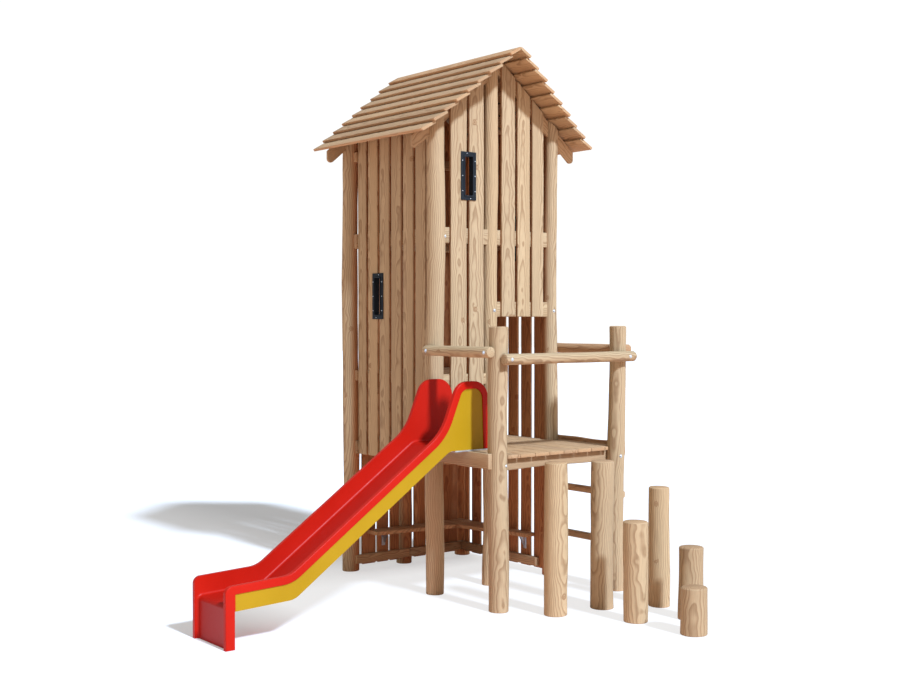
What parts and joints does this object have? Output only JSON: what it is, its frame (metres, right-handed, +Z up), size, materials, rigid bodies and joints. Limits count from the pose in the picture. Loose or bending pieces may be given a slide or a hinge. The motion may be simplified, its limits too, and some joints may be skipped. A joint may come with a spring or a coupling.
{
  "type": "stilt playhouse with slide",
  "caption": "Log stilt playhouse with a gable roof of lapped boards, a red and yellow slide, a railed platform and six stepping posts.",
  "frame": {"origin": "centre of the whole playhouse's plan, at ground level", "axes": "+Z up; +X along the platform's front from the slide to the ladder; +Y from the platform back to the tower"},
  "size_m": [3.9704, 3.8618, 4.6889],
  "materials": {
    "peeled_wood": "peeled logs and sawn boards, untreated, light brown",
    "red_plastic": "moulded red plastic, slight gloss",
    "yellow_plastic": "moulded yellow plastic, slight gloss",
    "slate_plastic": "dark slate plastic board",
    "galvanised_steel": "galvanised steel"
  },
  "bodies": {
    "root": {"back_wall_left": "peeled_wood", "back_wall_right": "peeled_wood", "bench_bracket_1": "galvanised_steel", "bench_bracket_2": "galvanised_steel", "bench_bracket_3": "galvanised_steel", "bench_bracket_4": "galvanised_steel", "bench_seat": "peeled_wood", "floor_beam_front": "peeled_wood", "front_wall_above_door": "peeled_wood", "front_wall_left": "peeled_wood", "handrail_front": "peeled_wood", "handrail_left": "peeled_wood", "handrail_right": "peeled_wood", "ladder_rung_1": "peeled_wood", "ladder_rung_2": "peeled_wood", "left_wall": "peeled_wood", "platform_deck": "peeled_wood", "platform_front_beam": "peeled_wood", "platform_left_beam": "peeled_wood", "platform_right_beam": "peeled_wood", "post_back_left": "peeled_wood", "post_back_middle": "peeled_wood", "post_back_right": "peeled_wood", "post_front_left": "peeled_wood", "post_front_middle": "peeled_wood", "post_front_right": "peeled_wood", "post_platform_left": "peeled_wood", "post_platform_right": "peeled_wood", "rafter_back_left": "peeled_wood", "rafter_back_right": "peeled_wood", "rafter_front_left": "peeled_wood", "rafter_front_right": "peeled_wood", "right_wall": "peeled_wood", "roof_left": "peeled_wood", "roof_right": "peeled_wood", "slide_chute": "red_plastic", "slide_flange": "galvanised_steel", "slide_front_plate": "red_plastic", "slide_panel_far": "yellow_plastic", "slide_panel_near": "yellow_plastic", "step_post_1": "peeled_wood", "step_post_2": "peeled_wood", "step_post_3": "peeled_wood", "step_post_4": "peeled_wood", "step_post_5": "peeled_wood", "step_post_6": "peeled_wood", "tower_floor": "peeled_wood", "window_frame_back": "slate_plastic", "window_frame_front": "slate_plastic", "window_frame_left": "slate_plastic", "window_frame_right": "slate_plastic"}
  },
  "joints": []
}
